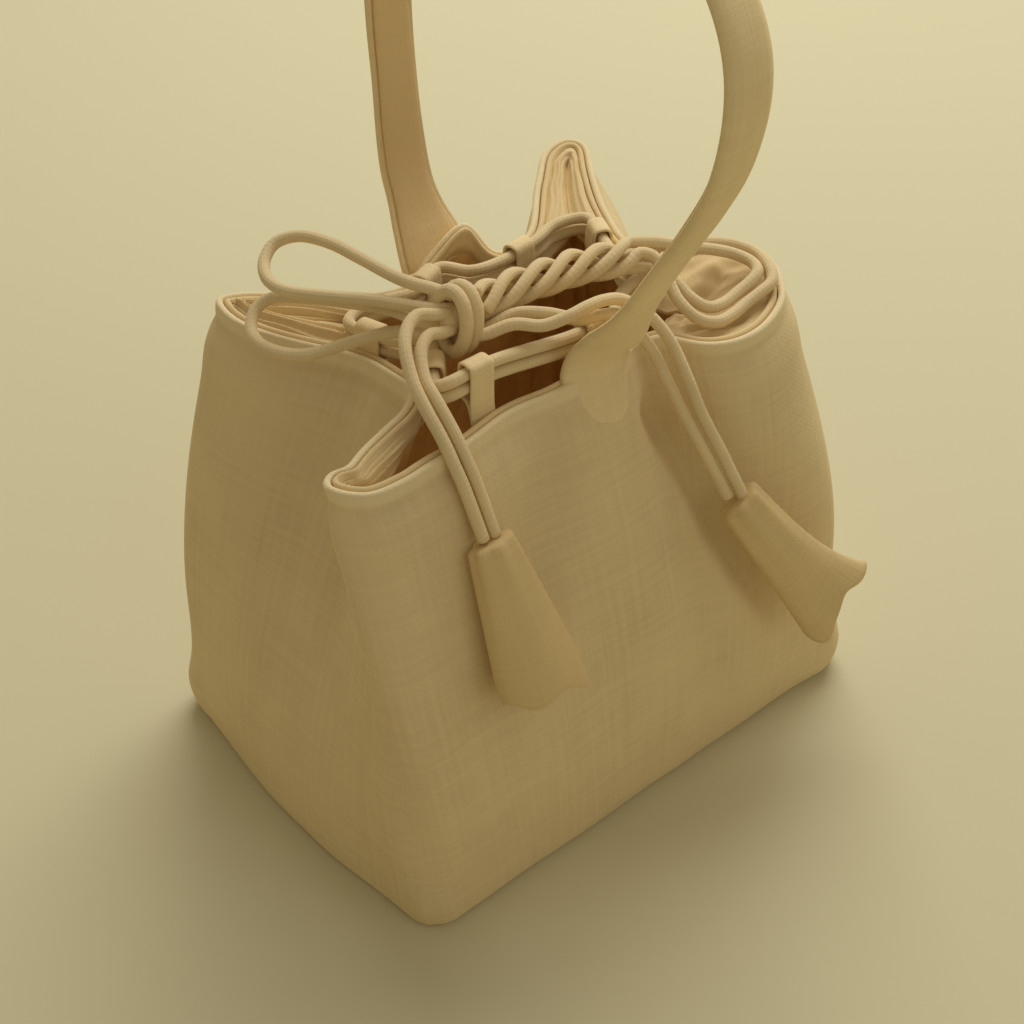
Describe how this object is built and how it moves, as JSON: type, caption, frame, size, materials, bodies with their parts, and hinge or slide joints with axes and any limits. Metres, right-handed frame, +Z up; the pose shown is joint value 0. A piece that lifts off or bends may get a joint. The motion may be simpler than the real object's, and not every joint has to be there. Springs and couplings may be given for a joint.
{
  "type": "tea set storage bag",
  "caption": "Padded cloth drawstring bag with a gathered mouth, a strap handle over it, and a tied cord with cloth tassels.",
  "frame": {"origin": "middle of the base's rectangle, on the surface that the bag stands on", "axes": "+Z up through the mouth and the handle, +X along the wide side to the viewer's right, -Y towards the front with the tassels"},
  "size_m": [0.1611, 0.1303, 0.2588],
  "materials": {
    "outer_cloth": "plain woven undyed cotton",
    "lining_cloth": "plain woven cotton lining",
    "wadding": "soft cotton wadding",
    "board": "pressed fibre board",
    "cord": "round cotton cord"
  },
  "bodies": {
    "bag": {"front_panel": "outer_cloth", "right_panel": "outer_cloth", "back_panel": "outer_cloth", "left_panel": "outer_cloth", "base_panel": "outer_cloth", "front_padding": "wadding", "right_padding": "wadding", "back_padding": "wadding", "left_padding": "wadding", "base_padding": "wadding", "front_lining": "lining_cloth", "right_lining": "lining_cloth", "back_lining": "lining_cloth", "left_lining": "lining_cloth", "base_lining": "lining_cloth", "base_board": "board", "cord_tab_front_left": "outer_cloth", "cord_tab_front_right": "outer_cloth", "cord_tab_right_front": "outer_cloth", "cord_tab_right_back": "outer_cloth", "cord_tab_back_right": "outer_cloth", "cord_tab_back_left": "outer_cloth", "cord_tab_left_back": "outer_cloth", "cord_tab_left_front": "outer_cloth", "handle_root_front": "outer_cloth", "handle_root_back": "outer_cloth", "bow_knot": "cord", "drawcord_lower": "cord", "drawcord_upper": "cord", "left_bow_loop_upper": "cord", "left_bow_loop_lower": "cord", "right_bow_loop_outer": "cord", "right_bow_loop_inner": "cord", "left_tail_outer": "cord", "left_tail_inner": "cord", "right_tail_outer": "cord", "right_tail_inner": "cord"},
    "handle": {"handle_strap_cover": "outer_cloth", "handle_strap_lining": "lining_cloth"},
    "left_tassel_drop": {"left_drop_outer": "cord", "left_drop_inner": "cord", "left_tassel": "outer_cloth"},
    "right_tassel_drop": {"right_drop_outer": "cord", "right_drop_inner": "cord", "right_tassel": "outer_cloth"}
  },
  "joints": [
    {"name": "handle_swing", "type": "hinge", "parent": "bag", "child": "handle", "pos_m": [0.001, 0, 0.136], "axis": [0, 1, 0], "range_deg": [-75, 75]},
    {"name": "left_tassel_lift", "type": "hinge", "parent": "bag", "child": "left_tassel_drop", "pos_m": [-0.045, -0.0295, 0.1294], "axis": [-1, 0, 0], "range_deg": [0, 75]},
    {"name": "right_tassel_lift", "type": "hinge", "parent": "bag", "child": "right_tassel_drop", "pos_m": [0.0174, -0.0351, 0.1299], "axis": [-1, 0, 0], "range_deg": [0, 75]}
  ]
}
